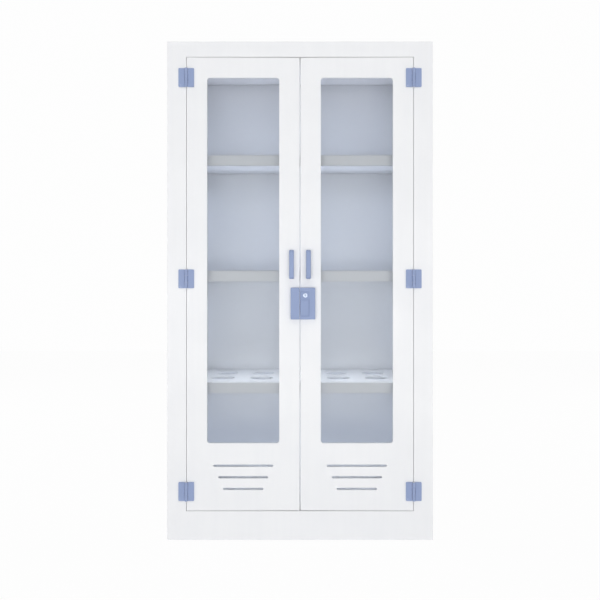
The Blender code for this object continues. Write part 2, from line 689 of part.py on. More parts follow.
def lock_case(axis, blue):
    """The lock's housing on the right door, open at the back, with a chamber that guides the bolt."""
    y = (LOCK_FRONT, ON_FACE)
    case = sheet("lock_case", (CASE_LEFT, CASE_RIGHT), y, (LOCK_LOW, LOCK_TOP), blue, axis, LOCK_EDGE, 2)
    inside = (CASE_LEFT + LOCK_WALL, CASE_RIGHT - LOCK_WALL)
    hollow_y = (LOCK_FRONT + LOCK_WALL, ON_FACE + CUT_PAST)
    chamber = (KEY_Z - BOLT_HALF - SEAT, KEY_Z + BOLT_HALF + SEAT)
    guide = LOCK_WALL / 2
    hollows = bmesh.new()
    add_box(hollows, inside, hollow_y, chamber)
    add_box(hollows, inside, hollow_y, (LOCK_LOW + LOCK_WALL, chamber[0] - guide))
    cut(case, "lock_case_hollows", hollows)

    mouth = bmesh.new()
    mouth_x = (CASE_LEFT - CUT_PAST, inside[0] + CUT_PAST)
    mouth_y = (BOLT_FRONT - BOLT_PLAY, BOLT_BACK + BOLT_PLAY)
    inset = SEAT / 3  # keeps the mouth's edges off the chamber's walls
    add_box(mouth, mouth_x, mouth_y, (chamber[0] + inset, chamber[1] - inset))
    cut(case, "lock_case_bolt_mouth", mouth)

    pocket = bmesh.new()
    x = (CASE_LEFT + POCKET_SIDE, KEY_X + KEY_FLANGE_RADIUS + POCKET_MARGIN)
    z = (LOCK_LOW + POCKET_LOW, KEY_Z + KEY_FLANGE_RADIUS + POCKET_MARGIN)
    add_panel(pocket, x, (LOCK_FRONT - CUT_PAST, POCKET_FLOOR), z)
    cut(case, "lock_case_pocket", pocket)

    bore = bmesh.new()
    length = LOCK_WALL + 2 * CUT_PAST
    place = (KEY_X, LOCK_FRONT + LOCK_WALL / 2, KEY_Z)
    add_cylinder(bore, place, (0, 1, 0), KEY_BARREL_RADIUS + SEAT, length)
    cut(case, "lock_case_key_bore", bore)
    lock_plate(x, z[0], axis, blue)


def add_panel(bm, x, y, z):
    """A flat shape facing the front, with the rounded corners of the lock's pocket."""
    outline = rounded_outline((sum(x) / 2, sum(z) / 2), x[1] - x[0], z[1] - z[0], POCKET_RADIUS)
    add_loft(bm, [[(px, end, pz) for px, pz in outline] for end in y])


def lock_plate(pocket_x, pocket_low, axis, blue):
    """The plain cover that fills the lower part of the pocket."""
    play = 2 * SEAT
    x = (pocket_x[0] + play, pocket_x[1] - play)
    z = (pocket_low + play, KEY_Z - KEY_FLANGE_RADIUS - PLATE_DROP)
    back = POCKET_FLOOR - SEAT
    bm = bmesh.new()
    add_panel(bm, x, (back - PLATE_THICK, back), z)
    ease(bm, EDGE / 2)
    piece("lock_face_plate", bm, blue, axis)


def lock_keeper(axis, blue):
    """The hollow strike on the left door that the bolt enters."""
    x, y = (KEEPER_LEFT, KEEPER_RIGHT), (LOCK_FRONT, ON_FACE)
    keeper = sheet("lock_keeper", x, y, (LOCK_LOW, LOCK_TOP), blue, axis, LOCK_EDGE, 2)
    hollow = bmesh.new()
    inside = (KEEPER_LEFT + LOCK_WALL, KEEPER_RIGHT - LOCK_WALL)
    hollow_y = (LOCK_FRONT + LOCK_WALL, ON_FACE + CUT_PAST)
    add_box(hollow, inside, hollow_y, (LOCK_LOW + LOCK_WALL, LOCK_TOP - LOCK_WALL))
    cut(keeper, "lock_keeper_hollow", hollow)
    mouth = bmesh.new()
    mouth_x = (inside[1] - CUT_PAST, KEEPER_RIGHT + CUT_PAST)
    mouth_y = (BOLT_FRONT - BOLT_PLAY, BOLT_BACK + BOLT_PLAY)
    add_box(mouth, mouth_x, mouth_y, (KEY_Z - BOLT_HALF - BOLT_PLAY, KEY_Z + BOLT_HALF + BOLT_PLAY))
    cut(keeper, "lock_keeper_mouth", mouth)


def key_cylinder(axis, chrome, bolt_axis):
    """The cylinder, its cam disc and the cam pin, which is up and to the right while unlocked."""
    flange_back = POCKET_FLOOR - SEAT
    flange_front = flange_back - KEY_FLANGE
    cam_back = CAM_FRONT + CAM_THICK
    profile = (
        (0, 0),
        (KEY_FLANGE_RADIUS - KEY_FLANGE / 2, 0),
        (KEY_FLANGE_RADIUS, KEY_FLANGE / 2),
        (KEY_FLANGE_RADIUS, KEY_FLANGE),
        (KEY_BARREL_RADIUS, KEY_FLANGE),
        (KEY_BARREL_RADIUS, CAM_FRONT - flange_front),
        (CAM_DISC_RADIUS, CAM_FRONT - flange_front),
        (CAM_DISC_RADIUS, cam_back - flange_front),
        (0, cam_back - flange_front),
    )
    bm = bmesh.new()
    add_turned(bm, profile, (KEY_X, flange_front, KEY_Z), (0, 1, 0), HOLE_STEPS)
    cylinder = piece("lock_cylinder", bm, chrome, axis)
    pin = bmesh.new()
    pin_length = CAM_THICK / 2 + SEAT + CAM_REACH
    pin_y = cam_back - CAM_THICK / 2 + pin_length / 2
    add_cylinder(pin, (KEY_X + CAM_SIDE, pin_y, KEY_Z + CAM_SIDE), (0, 1, 0), CAM_PIN_RADIUS, pin_length)
    join(cylinder, "lock_cylinder_cam_pin", pin)
    keyway = bmesh.new()
    half_width, half_length = KEYWAY_WIDTH / 2, KEYWAY_LENGTH / 2
    add_box(
        keyway,
        (KEY_X - half_width, KEY_X + half_width),
        (flange_front - CUT_PAST, flange_front + KEYWAY_DEPTH),
        (KEY_Z - half_length, KEY_Z + half_length),
    )
    cut(cylinder, "lock_cylinder_keyway", keyway)
    lock_bolt(bolt_axis, chrome)


def lock_bolt(axis, chrome):
    """A bar with an upright slot, in which the cam pin pushes it towards the keeper."""
    x = (CASE_LEFT + BOLT_NOSE, CASE_RIGHT - LOCK_WALL - BOLT_ROOM)
    y = (BOLT_FRONT, BOLT_BACK)
    bolt = sheet("lock_bolt", x, y, (KEY_Z - BOLT_HALF, KEY_Z + BOLT_HALF), chrome, axis)
    slot = bmesh.new()
    half = CAM_PIN_RADIUS + BOLT_PLAY
    slot_x = (KEY_X + CAM_SIDE - half, KEY_X + CAM_SIDE + half)
    slot_z = (KEY_Z + CAM_SIDE - half, KEY_Z + CAM_RADIUS + half)
    add_box(slot, slot_x, (BOLT_FRONT - CUT_PAST, BOLT_BACK + CUT_PAST), slot_z)
    cut(bolt, "lock_bolt_slot", slot)


def main():
    clear_scene()
    white = finish("white_polypropylene", (0.86, 0.87, 0.89), 0.45)
    blue = finish("blue_polypropylene", (0.29, 0.37, 0.60), 0.4)
    clear = finish("clear_acrylic", (0.90, 0.93, 0.96), 0.05, alpha=0.2)
    steel = finish("stainless_steel", (0.62, 0.62, 0.63), 0.3, metallic=1.0)
    chrome = finish("nickel_plate", (0.88, 0.88, 0.90), 0.2, metallic=1.0)

    carcass(white)
    face_frame(white)
    for level, top in SHELF_TOPS.items():
        shelf(level, top, white)

    axes = {}
    for name, side in SIDES.items():
        axes[name] = pivot(f"{name}_door_axis", (side * HINGE_X, HINGE_Y, 0))
        door(name, side, axes[name], white, clear)
        handle(name, side, axes[name], blue, steel)
        for level, height in HINGE_LEVELS.items():
            hinge(f"hinge_{name}_{level}", side, height, axes[name], blue)

    lock_case(axes["right"], blue)
    lock_keeper(axes["left"], blue)
    key_axis = pivot("key_axis", (KEY_X, LOCK_FRONT, KEY_Z), axes["right"])
    bolt_axis = pivot("bolt_axis", (KEY_X, BOLT_FRONT, KEY_Z), axes["right"])
    key_cylinder(key_axis, chrome, bolt_axis)


main()
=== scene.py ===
"""The looks of a laboratory glassware cabinet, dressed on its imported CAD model.

White plastic sheet, blue moulded fittings and clear panes. Everything is in metres, in the frame of
the CAD model: +Z is up, the doors face -Y, and +X is to the right of someone facing them.
"""

import json
import math

import bmesh
import bpy
from bmesh.geometry import intersect_face_point
from mathutils import Matrix, Vector


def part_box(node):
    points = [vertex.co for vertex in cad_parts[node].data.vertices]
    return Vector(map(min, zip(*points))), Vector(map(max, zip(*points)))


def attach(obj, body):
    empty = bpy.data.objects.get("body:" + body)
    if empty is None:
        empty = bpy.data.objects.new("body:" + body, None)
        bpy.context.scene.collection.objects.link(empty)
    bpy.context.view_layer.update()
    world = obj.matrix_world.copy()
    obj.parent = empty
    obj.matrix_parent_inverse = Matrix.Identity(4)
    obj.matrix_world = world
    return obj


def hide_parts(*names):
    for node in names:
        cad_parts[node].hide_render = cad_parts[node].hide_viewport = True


SIDES = {"left": -1, "right": 1}
LEVELS = ("top", "middle", "bottom")
UPRIGHT = Matrix.Rotation(math.radians(90), 4, "X")  # stands a flat drawing up, facing the front
FACING_BACK = Matrix.Rotation(math.radians(-90), 4, "X")
UP = Vector((0, 0, 1))
FORWARD = Vector((0, -1, 0))
WELD_DISTANCE = 1e-6
ON_PLANE = 1e-5
FACES_ALONG = 0.9  # share of a normal along an axis that makes a face look that way
WEAR_MARGIN = 0.0012  # how far rubbed edges reach into a flat face
SHARP_TURN = math.radians(40)  # edges that turn more than this are eased or shaded sharp

# The camera stands where the photograph's perspective puts it.
EYE = Vector((0.0, -2.724, 0.921))
LENS = 41.8
FRAME_SHIFT = -0.0252

# Sheet work
PLASTIC_IOR = 1.49
SHEET = 0.008
SHEET_EDGE = 0.001
DOOR_EDGE = 0.0005  # radius along the doors and the opening that they shut
MEETING_EDGE = 0.0014  # radius where the two doors meet
DOOR_BORDER = 0.004  # a plain strip round a door's sheet, which its rounded edges stay within
FLANGE_SEAT = 0.0003  # the jambs stand this far above the floor panel
PANE_LAP = 0.014  # the pane runs this far past the window
WINDOW_RADIUS = 0.010
VENT_END = 0.0037  # a vent slot's round end, outside its free opening
VENT_SIDE = 0.0004
SHELF_BEND = 0.0035
HOLE_RADIUS = 0.045
HOLE_STEPS = 16  # for a quarter of a hole
CORNER_STEPS = 6

# Fittings
KNUCKLE_RADIUS = 0.006
KNUCKLE_BORE = 0.0029
KNUCKLE_CURL = math.radians(262)
KNUCKLE_STEPS = 22
KNUCKLE_GAP = 0.0005
LEAF_THICK = 0.0055
LEAF_CLEAR = 0.0007
LEAF_CORNER = 0.0028
FITTING_EDGE = 0.0005
HANDLE_BAR = 0.0095
HANDLE_BEND = 0.0135
HANDLE_SIDE = 0.0036
BEND_STEPS = 8
LOCK_WALL = 0.004
LOCK_EDGE = 0.0022
LOCK_MEETING_EDGE = 0.0013  # radius where the lock's two halves meet
POCKET_EDGE = 0.001
POCKET_SIDE = 0.0022
POCKET_LOW = 0.012
POCKET_MARGIN = 0.0065
POCKET_DEPTH = 0.0026
POCKET_RADIUS = 0.003
PLATE_CORNER = 0.009
PLATE_GROOVE = 0.0008  # how far the plate's edge is drawn in, so that a groove shows round it
BOLT_ROOM = 0.0012  # between the bolt and the mouth that it slides through
KEY_FLANGE_RADIUS = 0.0075
KEY_PLUG_RADIUS = 0.0048
KEY_RIM = 0.0006  # height that the flange's rim is rounded over
KEY_RIM_SHOULDER = 0.3 * KEY_RIM  # halfway round that rim, from its top and from its side
KEY_FLANGE = 0.002
KEY_BARREL_RADIUS = 0.0055
KEYHOLE_WIDTH = 0.0013
KEYHOLE_LENGTH = 0.0062
KEYHOLE_DEPTH = 0.0028
KEYHOLE_CORNER = 0.45 * KEYHOLE_WIDTH
CAM_FRONT = 0.0051  # from the flange's front to the cam disc
CAM_THICK = 0.003
CAM_PIN_RADIUS = 0.002
ROUND_STEPS = 40

# Screws from behind, with a button head and a hex socket
HANDLE_SCREW_RADIUS = 0.0045
HANDLE_SCREW_HEAD = 0.003
HANDLE_SCREW_SHANK = 0.0024
SMALL_SCREW_RADIUS = 0.0034
SMALL_SCREW_HEAD = 0.0019
SMALL_SCREW_SHANK = 0.0016
SMALL_SCREW_BITE = 0.004  # how far a small screw's shank is drawn below its head
SCREW_STEPS = 24
SCREW_DOME = ((1.0, 0.35), (0.92, 0.65), (0.75, 0.88), (0.55, 1.0))  # shares of a head's radius and height
SOCKET_RADIUS = 0.36  # share of the head's radius
SOCKET_DEPTH = 0.6  # share of the head's height
LEAF_SCREW_IN = 0.008  # leaf's outer edge to its screws
LEAF_SCREW_RISE = 0.020
LOCK_SCREW_X = {"left": -0.0229, "right": 0.030}
LOCK_SCREW_IN = 0.007  # lock's top and bottom to its screws
RETAINER_SCREW_IN = 0.006  # retainer's outer edge to its screws
RETAINER_SCREW_PITCH = 0.19
BEAD = 0.0025  # a weld bead's radius
BEAD_STEPS = 16

# Light and stage, with powers in watts and spreads in degrees
AMBIENT = 0.45  # strength of the white world as light
BACKDROP = 0.988  # its strength as it is seen
FLOOR_SIZE = 14
FLOOR_DROP = 0.0005  # keeps the floor clear of the cabinet's foot
FLOOR_GLOW = 0.96  # how much of the floor is plain white to the camera; the rest shows the shadow
STUDIO_LAMPS = {  # place, aim, size and power
    "high_lamp": ((0.0, -4.2, 4.6), (0.0, -0.2, 0.9), (3.4, 2.2), 34),
    "front_lamp": ((0.0, -5.0, 0.55), (0.0, -0.2, 0.6), (4.2, 1.0), 90),
    "left_fill_lamp": ((-3.6, 2.2, 2.4), (0.0, 0.1, 0.9), (2.4, 2.4), 40),
    "right_fill_lamp": ((3.6, 2.2, 2.4), (0.0, 0.1, 0.9), (2.4, 2.4), 27),
}
BACK_WALL = 0.234  # depth of the back panel's face
WALL_TINT = (0.75, 0.83, 1.0)
SHELF_TINT = (0.90, 0.94, 1.0)
UNDERSIDE_TINT = (0.80, 0.86, 1.0)
CEILING_TINT = (0.84, 0.86, 1.0)
BAY_STRIP = (0.87, 0.06)
BAY_STRIP_DEPTH = -0.13
BAY_STRIPS = {  # height, height of the aim on the back wall, power and spread
    "top": (1.70, 1.42, 0.36, 100),
    "upper": (1.34, 1.01, 0.37, 100),
    "lower": (0.88, 0.77, 0.17, 112),
    "floor": (0.50, 0.22, 0.05, 100),
}
LONG_STRIP = 0.84
LONG_STRIPS = {  # place and aim as depth and height, width of the strip, power, tint and spread
    "low_shelf": ((-0.14, 0.77), (-0.06, 0.56), 0.08, 0.57, SHELF_TINT, 104),
    "low_shelf_back": ((0.12, 0.84), (0.12, 0.56), 0.08, 0.11, SHELF_TINT, 64),
    "top_shelf": ((0.06, 1.14), (0.06, 1.4), 0.10, 0.29, UNDERSIDE_TINT, 80),
    "ceiling": ((0.12, 1.48), (0.13, 1.8), 0.08, 0.185, CEILING_TINT, 60),
    "floor": ((-0.10, 0.34), (0.20, 0.34), 0.10, 0.10, WALL_TINT, 180),
    "under_shelf": ((-0.10, 0.50), (BACK_WALL, 0.535), 0.03, 0.07, WALL_TINT, 24),
    "wall_foot": ((0.0, 0.14), (BACK_WALL, 0.30), 0.06, 0.20, WALL_TINT, 80),
}
CORNER_STRIP = (0.04, 0.28)
CORNER_STRIP_OUT = 0.40  # from the middle of the cabinet
CORNER_STRIP_AIM_OUT = 0.38
CORNER_STRIP_DEPTH = 0.10
CORNER_STRIP_SPREAD = 90
CORNER_STRIPS = {  # height and power
    "top": (1.57, 0.005),
    "upper": (1.17, 0.010),
    "lower": (0.75, 0.013),
    "floor": (0.38, 0.012),
}

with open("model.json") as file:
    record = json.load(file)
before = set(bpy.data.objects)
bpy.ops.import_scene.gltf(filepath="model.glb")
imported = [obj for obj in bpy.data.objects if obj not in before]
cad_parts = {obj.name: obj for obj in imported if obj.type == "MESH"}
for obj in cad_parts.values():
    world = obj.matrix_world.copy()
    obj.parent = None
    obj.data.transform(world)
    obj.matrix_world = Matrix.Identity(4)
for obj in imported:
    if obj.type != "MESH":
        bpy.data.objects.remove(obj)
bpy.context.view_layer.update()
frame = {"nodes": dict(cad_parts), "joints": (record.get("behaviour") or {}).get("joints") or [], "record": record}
nodes = frame["nodes"]
joints = {joint["name"]: joint for joint in frame["joints"]}
openings = {opening["name"]: opening["box_m"] for opening in frame["record"]["physics"]["openings"]}
finishes = {}


# Shader nodes

def add_node(tree, kind, inputs=None, **settings):
    """A shader node, with its settings made and its inputs set or linked."""
    made = tree.nodes.new("ShaderNode" + kind)
    for name, value in settings.items():
        setattr(made, name, value)
    for name, value in (inputs or {}).items():
        if isinstance(value, bpy.types.NodeSocket):
            tree.links.new(value, made.inputs[name])
        else:
            made.inputs[name].default_value = value
    return made


def start_effect(name, takes, gives):
    """A node group, with the sockets of its input node and its output node."""
    tree = bpy.data.node_groups.new(name, "ShaderNodeTree")
    for label, kind in takes:
        tree.interface.new_socket(label, in_out="INPUT", socket_type="NodeSocket" + kind)
    for label, kind in gives:
        tree.interface.new_socket(label, in_out="OUTPUT", socket_type="NodeSocket" + kind)
    return tree, tree.nodes.new("NodeGroupInput").outputs, tree.nodes.new("NodeGroupOutput").inputs


def mottle(tree, scale, detail, low, high, stretch=(1, 1, 1)):
    """Soft noise on the piece's own coordinates, from 0 to 1 between the two noise levels."""
    place = add_node(tree, "TexCoord").outputs["Object"]
    stretched = add_node(tree, "Mapping", {"Vector": place, "Scale": stretch}).outputs["Vector"]
    noise = add_node(tree, "TexNoise", {"Vector": stretched, "Scale": scale, "Detail": detail})
    spread = {"Value": noise.outputs["Fac"], "From Min": low, "From Max": high}
    return add_node(tree, "MapRange", spread).outputs["Result"]


def math_of(tree, operation, first, second):
    return add_node(tree, "Math", {0: first, 1: second}, operation=operation).outputs[0]


def mix_colours(tree, share, first, second):
    """A mix of two colours. The sockets go by number, because a Mix node has several of each name."""
    return add_node(tree, "Mix", {0: share, 6: first, 7: second}, data_type="RGBA").outputs[2]


def mix_shaders(tree, share, first, second):
    """Makes a mix of two shaders the surface of a material."""
    both = add_node(tree, "MixShader", {0: share, 1: first.outputs[0], 2: second.outputs[0]})
    tree.links.new(both.outputs[0], tree.nodes["Material Output"].inputs["Surface"])


def make_skin():
    """Plastic skin: clouded tone, fine streaks along the sheet, and an orange-peel grain."""
    takes = [("Colour", "Color"), ("Shade", "Color"), ("Clouding", "Float"), ("Gloss Roughness", "Float"),
             ("Grain Scale", "Float")]
    gives = [("Colour", "Color"), ("Roughness", "Float"), ("Height", "Float")]
    tree, given, out = start_effect("plastic_skin", takes, gives)
    clouds = mottle(tree, scale=5.0, detail=4.0, low=0.35, high=0.65)
    streaks = mottle(tree, scale=22.0, detail=2.0, low=0.35, high=0.7, stretch=(3.0, 3.0, 0.12))
    streak_tone = math_of(tree, "MULTIPLY", streaks, 0.5)
    blend = math_of(tree, "MULTIPLY", math_of(tree, "ADD", clouds, streak_tone), given["Clouding"])
    tone = mix_colours(tree, blend, given["Colour"], given["Shade"])
    cloud_roughness = math_of(tree, "MULTIPLY", clouds, 0.07)
    rough = math_of(tree, "ADD", given["Gloss Roughness"], cloud_roughness)
    place = add_node(tree, "TexCoord").outputs["Object"]
    peel = add_node(tree, "TexNoise", {"Vector": place, "Scale": given["Grain Scale"], "Detail": 3.0})
    streak_height = math_of(tree, "MULTIPLY", streaks, 0.3)
    height = math_of(tree, "ADD", peel.outputs["Fac"], streak_height)
    tree.links.new(tone, out["Colour"])
    tree.links.new(rough, out["Roughness"])
    tree.links.new(height, out["Height"])
    return tree


def make_rubbed_edges():
    """Lighter plastic where hands and wipes have rubbed the edges."""
    takes = [("Colour", "Color"), ("Rubbed Colour", "Color"), ("Amount", "Float")]
    tree, given, out = start_effect("rubbed_edges", takes, [("Colour", "Color")])
    point = add_node(tree, "NewGeometry").outputs["Pointiness"]
    edge = add_node(tree, "MapRange", {"Value": point, "From Min": 0.52, "From Max": 0.60}).outputs["Result"]
    patch = mottle(tree, scale=160.0, detail=3.0, low=0.40, high=0.62)
    mask = math_of(tree, "MULTIPLY", math_of(tree, "MULTIPLY", edge, patch), given["Amount"])
    tree.links.new(mix_colours(tree, mask, given["Colour"], given["Rubbed Colour"]), out["Colour"])
    return tree


def start_material(name):
    material = bpy.data.materials.new(name)
    material.use_nodes = True
    finishes[name] = material
    tree = material.node_tree
    return tree, tree.nodes["Principled BSDF"]


def make_plastic(name, skin, rubbed, colour, shade, rub, clouding, roughness, sheen, grain, grain_depth):
    tree, shader = start_material(name)
    skin_values = {"Colour": (*colour, 1), "Shade": (*shade, 1), "Clouding": clouding,
                   "Gloss Roughness": roughness, "Grain Scale": grain}
    surface = add_node(tree, "Group", skin_values, node_tree=skin).outputs
    edge_values = {"Colour": surface["Colour"], "Rubbed Colour": (*rub, 1), "Amount": 0.5}
    edges = add_node(tree, "Group", edge_values, node_tree=rubbed).outputs
    bump = add_node(tree, "Bump", {"Height": surface["Height"], "Strength": 0.35, "Distance": grain_depth})
    tree.links.new(edges["Colour"], shader.inputs["Base Color"])
    tree.links.new(surface["Roughness"], shader.inputs["Roughness"])
    tree.links.new(bump.outputs["Normal"], shader.inputs["Normal"])
    shader.inputs["IOR"].default_value = PLASTIC_IOR
    shader.inputs["Specular IOR Level"].default_value = sheen


def make_clear_pane(tint):
    """Acrylic: mostly see-through, with a mirror that grows at a slant and faint wipe marks."""
    tree, shader = start_material("clear_pane")
    wipes = mottle(tree, scale=9.0, detail=5.0, low=0.42, high=0.70, stretch=(1.0, 1.0, 0.35))
    rough = math_of(tree, "ADD", math_of(tree, "MULTIPLY", wipes, 0.05), 0.03)
    tree.links.new(rough, shader.inputs["Roughness"])
    shader.inputs["Base Color"].default_value = (0.75, 0.78, 0.82, 1)
    shader.inputs["IOR"].default_value = PLASTIC_IOR
    clear = add_node(tree, "BsdfTransparent", {"Color": (*tint, 1)})
    slant = add_node(tree, "LayerWeight", {"Blend": 0.08}).outputs["Facing"]
    mix_shaders(tree, slant, clear, shader)


def make_metal(name, colour, dull, smoothest, roughest):
    """Finely blasted metal with faint stains."""
    tree, shader = start_material(name)
    blasted = mottle(tree, scale=260.0, detail=3.0, low=0.3, high=0.7)
    stain = mottle(tree, scale=70.0, detail=3.0, low=0.45, high=0.75)
    tone = mix_colours(tree, stain, (*colour, 1), (*dull, 1))
    rough = add_node(tree, "MapRange", {"Value": blasted, "To Min": smoothest, "To Max": roughest})
    bump = add_node(tree, "Bump", {"Height": blasted, "Strength": 0.15, "Distance": 0.0001})
    tree.links.new(tone, shader.inputs["Base Color"])
    tree.links.new(rough.outputs["Result"], shader.inputs["Roughness"])
    tree.links.new(bump.outputs["Normal"], shader.inputs["Normal"])
    shader.inputs["Metallic"].default_value = 1.0


def make_finishes():
    skin = make_skin()
    rubbed = make_rubbed_edges()
    make_plastic("white_sheet", skin, rubbed, colour=(0.885, 0.892, 0.908), shade=(0.845, 0.855, 0.878),
                 rub=(0.93, 0.93, 0.93), clouding=0.5, roughness=0.40, sheen=0.5, grain=420.0,
                 grain_depth=0.0003)
    make_plastic("blue_moulding", skin, rubbed, colour=(0.310, 0.382, 0.592), shade=(0.289, 0.359, 0.563),
                 rub=(0.49, 0.56, 0.74), clouding=0.6, roughness=0.46, sheen=0.2, grain=1500.0,
                 grain_depth=0.0002)
    make_clear_pane(tint=(0.872, 0.880, 0.887))
    make_metal("screw_steel", (0.66, 0.67, 0.68), dull=(0.50, 0.51, 0.53), smoothest=0.22, roughest=0.42)
    make_metal("plated_lock", (0.50, 0.55, 0.64), dull=(0.42, 0.46, 0.54), smoothest=0.36, roughest=0.48)
    make_metal("key_plug", (0.30, 0.35, 0.44), dull=(0.25, 0.29, 0.36), smoothest=0.36, roughest=0.48)


# Mesh work

def frame_flats(bm):
    """Sets a line of points just inside each roomy flat face, so that rubbed edges stay at the edges."""
    roomy = [face for face in bm.faces if face.calc_area() > WEAR_MARGIN * face.calc_perimeter()]
    bmesh.ops.inset_individual(bm, faces=roomy, thickness=WEAR_MARGIN, use_even_offset=True)


def add_piece(name, bm, finish, body, *stands_for, second_finish=None):
    """Makes a finished mesh a piece that rides on a body, and stands for the CAD nodes that it replaces."""
    bmesh.ops.remove_doubles(bm, verts=bm.verts, dist=WELD_DISTANCE)
    bmesh.ops.recalc_face_normals(bm, faces=bm.faces)
    frame_flats(bm)
    for face in bm.faces:
        face.smooth = True
    for edge in bm.edges:
        edge.smooth = edge.is_manifold and edge.calc_face_angle() < SHARP_TURN
    mesh = bpy.data.meshes.new(name)
    bm.to_mesh(mesh)
    bm.free()
    mesh.materials.append(finishes[finish])
    if second_finish:
        mesh.materials.append(finishes[second_finish])
    piece = bpy.data.objects.new(name, mesh)
    bpy.context.scene.collection.objects.link(piece)
    shading = piece.modifiers.new("flat_faces_stay_flat", "WEIGHTED_NORMAL")
    shading.keep_sharp = True
    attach(piece, body)
    if stands_for:
        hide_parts(*stands_for)


def verts_of(geom):
    return [item for item in geom if isinstance(item, bmesh.types.BMVert)]


def edges_of(geom):
    return [item for item in geom if isinstance(item, bmesh.types.BMEdge)]


def faces_of(geom):
    return [item for item in geom if isinstance(item, bmesh.types.BMFace)]


def edges_at(verts):
    """The edges that meet some points, each of them once and always in the same order."""
    return list(dict.fromkeys(edge for vert in verts for edge in vert.link_edges))


def add_sheet(bm, place, width, height):
    """A flat rectangle, drawn on the floor about the origin and then put in its place."""
    size = Matrix.Diagonal((width, height, 1, 1))
    bmesh.ops.create_grid(bm, x_segments=1, y_segments=1, size=0.5, matrix=place @ size)


def add_block(bm, low, high):
    place = Matrix.Translation((low + high) / 2) @ Matrix.Diagonal((*(high - low), 1))
    bmesh.ops.create_cube(bm, size=1, matrix=place)


def add_rod(bm, place, radius, length, steps):
    """A round bar, drawn upright about the origin and then put in its place."""
    bmesh.ops.create_cone(bm, cap_ends=True, segments=steps, radius1=radius, radius2=radius, depth=length,
                          matrix=place)


def cut_across(bm, point, normal):
    """A new line of edges where a plane meets the mesh."""
    everything = bm.verts[:] + bm.edges[:] + bm.faces[:]
    bmesh.ops.bisect_plane(bm, geom=everything, plane_co=point, plane_no=normal)


def face_at(bm, point):
    """The flat face that a point lies on."""
    bm.normal_update()
    for face in bm.faces:
        on_plane = abs((point - face.verts[0].co).dot(face.normal)) < ON_PLANE
        if on_plane and intersect_face_point(face, point):
            return face
    raise ValueError(f"no face at {tuple(point)}")


def add_rim(bm, place, width, height, radius, steps=CORNER_STEPS):
    """The edges of an outline with round corners."""
    half_step = math.pi / (4 * steps)
    rim = bmesh.ops.create_circle(bm, radius=radius / math.cos(half_step), segments=4 * steps)["verts"]
    bmesh.ops.rotate(bm, verts=rim, cent=(0, 0, 0), matrix=Matrix.Rotation(half_step, 3, "Z"))
    for vert in rim:
        vert.co.x += math.copysign(width / 2 - radius, vert.co.x)
        vert.co.y += math.copysign(height / 2 - radius, vert.co.y)
    bmesh.ops.transform(bm, matrix=place, verts=rim)
    return edges_at(rim)


def pierce(bm, face, rim):
    """Opens a face inside a rim that lies on it."""
    border = list(face.edges)
    normal = face.normal.copy()
    bmesh.ops.delete(bm, geom=[face], context="FACES_ONLY")
    bmesh.ops.triangle_fill(bm, edges=border + rim, normal=normal, use_beauty=True)


def sink(bm, rim, shift):
    """Runs a rim's edges inwards as walls, and closes them with a floor."""
    walls = bmesh.ops.extrude_edge_only(bm, edges=rim)["geom"]
    bmesh.ops.translate(bm, vec=shift, verts=verts_of(walls))
    bmesh.ops.edgeloop_fill(bm, edges=edges_of(walls))


def push(bm, faces, shift):
    """Pushes faces of a closed mesh out, with walls behind them, and returns where they went."""
    moved = bmesh.ops.extrude_face_region(bm, geom=faces)["geom"]
    bmesh.ops.delete(bm, geom=faces, context="FACES")
    bmesh.ops.translate(bm, vec=shift, verts=verts_of(moved))
    return faces_of(moved)


def thicken(bm, shift):
    """Gives a flat sheet its thickness."""
    moved = bmesh.ops.extrude_face_region(bm, geom=bm.faces[:])["geom"]
    bmesh.ops.translate(bm, vec=shift, verts=verts_of(moved))
    bmesh.ops.recalc_face_normals(bm, faces=bm.faces)


def ease(bm, radius, segments=2, edges=None):
    """Rounds the given edges, or every sharp outer edge."""
    bm.normal_update()
    if edges is None:
        edges = [edge for edge in bm.edges
                 if edge.is_manifold and edge.is_convex and edge.calc_face_angle() > SHARP_TURN]
    bmesh.ops.bevel(bm, geom=edges, offset=radius, offset_type="OFFSET", affect="EDGES", segments=segments,
                    profile=0.5, material=-1, clamp_overlap=True)


def edges_where(bm, test):
    return [edge for edge in bm.edges if all(test(vert.co) for vert in edge.verts)]


# Sheet work

def make_face_frame():
    """The four parts of the face frame as one welded sheet, with jambs behind its opening."""
    parts = ("front_stile_left", "front_stile_right", "front_rail_top", "front_rail_bottom")
    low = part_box("front_stile_left")[0]
    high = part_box("front_stile_right")[1]
    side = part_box("front_stile_right")[0].x
    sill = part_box("front_rail_bottom")[1].z
    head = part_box("front_rail_top")[0].z
    foot = sill + FLANGE_SEAT
    bm = bmesh.new()
    middle = Vector((0, low.y, (low.z + high.z) / 2))
    add_sheet(bm, Matrix.Translation(middle) @ UPRIGHT, high.x - low.x, high.z - low.z)
    for x in (-side - SHEET, -side, side, side + SHEET):
        cut_across(bm, (x, 0, 0), (1, 0, 0))
    for z in (sill, foot, head, head + SHEET):
        cut_across(bm, (0, 0, z), (0, 0, 1))

    def in_box(face, half_width, lowest, highest):
        centre = face.calc_center_median()
        return abs(centre.x) < half_width and lowest < centre.z < highest

    opening = [face for face in bm.faces if in_box(face, side, sill, head)]
    bmesh.ops.delete(bm, geom=opening, context="FACES")
    thicken(bm, (0, SHEET, 0))
    back = low.y + SHEET
    jambs = [face for face in bm.faces
             if face.normal.y > FACES_ALONG and in_box(face, side + SHEET, foot, head + SHEET)]
    push(bm, jambs, (0, high.y - back, 0))
    ease(bm, DOOR_EDGE)
    add_piece("face_frame", bm, "white_sheet", "cabinet", *parts)


